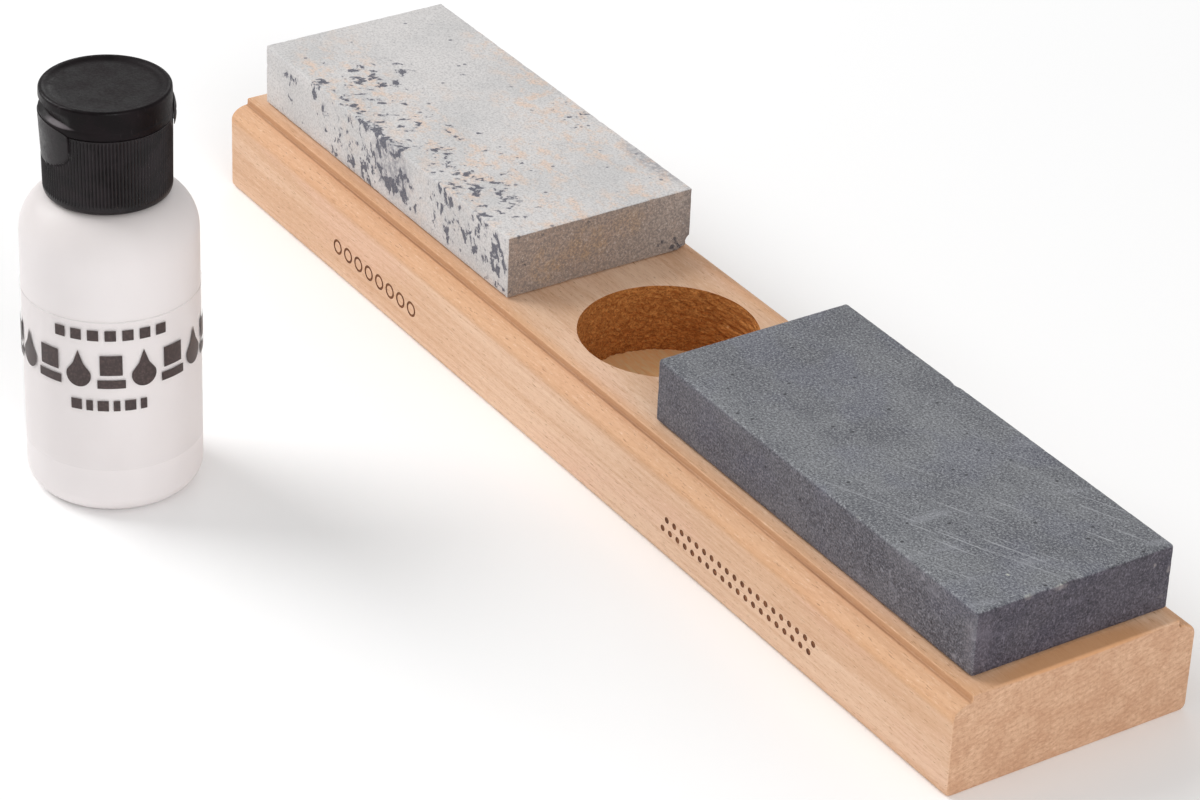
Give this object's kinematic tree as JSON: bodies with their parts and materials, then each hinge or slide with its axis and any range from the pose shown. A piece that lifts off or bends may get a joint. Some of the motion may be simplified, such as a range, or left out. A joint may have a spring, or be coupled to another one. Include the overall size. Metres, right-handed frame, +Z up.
{
  "type": "two-stone sharpening kit",
  "caption": "Wooden block with a soft and a hard oilstone, a round pocket between them, and a flip-top bottle of honing oil standing beside it.",
  "frame": {"origin": "centre of the block's underside, on the table", "axes": "+X along the block towards the hard stone, -Y is the block's marked side where the bottle stands, +Z up"},
  "size_m": [0.244, 0.1383, 0.0788],
  "materials": {
    "wood": "fine-sanded, unvarnished pale hardwood",
    "soft_stone": "matt, fine-grained, with dark speckles",
    "hard_stone": "matt, very fine-grained slate grey",
    "glue": "thin glue bed",
    "bottle_plastic": "milky translucent blow-moulded plastic",
    "label_film": "clear film with dark print",
    "oil": "clear mineral oil",
    "seal_foam": "white foam liner",
    "black_plastic": "satin black moulded plastic"
  },
  "bodies": {
    "block": {"base_block": "wood", "soft_stone": "soft_stone", "hard_stone": "hard_stone", "soft_stone_adhesive": "glue", "hard_stone_adhesive": "glue"},
    "bottle": {"bottle_body": "bottle_plastic", "bottle_label": "label_film", "honing_oil": "oil"},
    "cap_carrier": {"cap_seal_ring": "seal_foam"},
    "closure": {"cap_body": "black_plastic", "hinge_strap": "black_plastic"},
    "lid": {"cap_lid": "black_plastic"}
  },
  "joints": [
    {"name": "bottle_lift", "type": "slide", "parent": "block", "child": "bottle", "axis": [0, 0, 1], "range_m": [0, 0.1]},
    {"name": "cap_turn", "type": "hinge", "parent": "cap_carrier", "child": "closure", "pos_m": [-0.0348, -0.0966, 0.0734], "axis": [0, 0, 1], "range_deg": [0, 540]},
    {"name": "cap_lift", "type": "slide", "parent": "bottle", "child": "cap_carrier", "axis": [0, 0, 1], "range_m": [0, 0.0048]},
    {"name": "lid_flip", "type": "hinge", "parent": "closure", "child": "lid", "pos_m": [-0.03249, -0.08482, 0.0734], "axis": [-0.9813, 0.1925, 0], "range_deg": [0, 150], "deforming": ["hinge_strap"]}
  ],
  "couplings": [
    {"joint": "cap_lift", "follows": "cap_turn", "m_per_rad": 0.00050532}
  ]
}
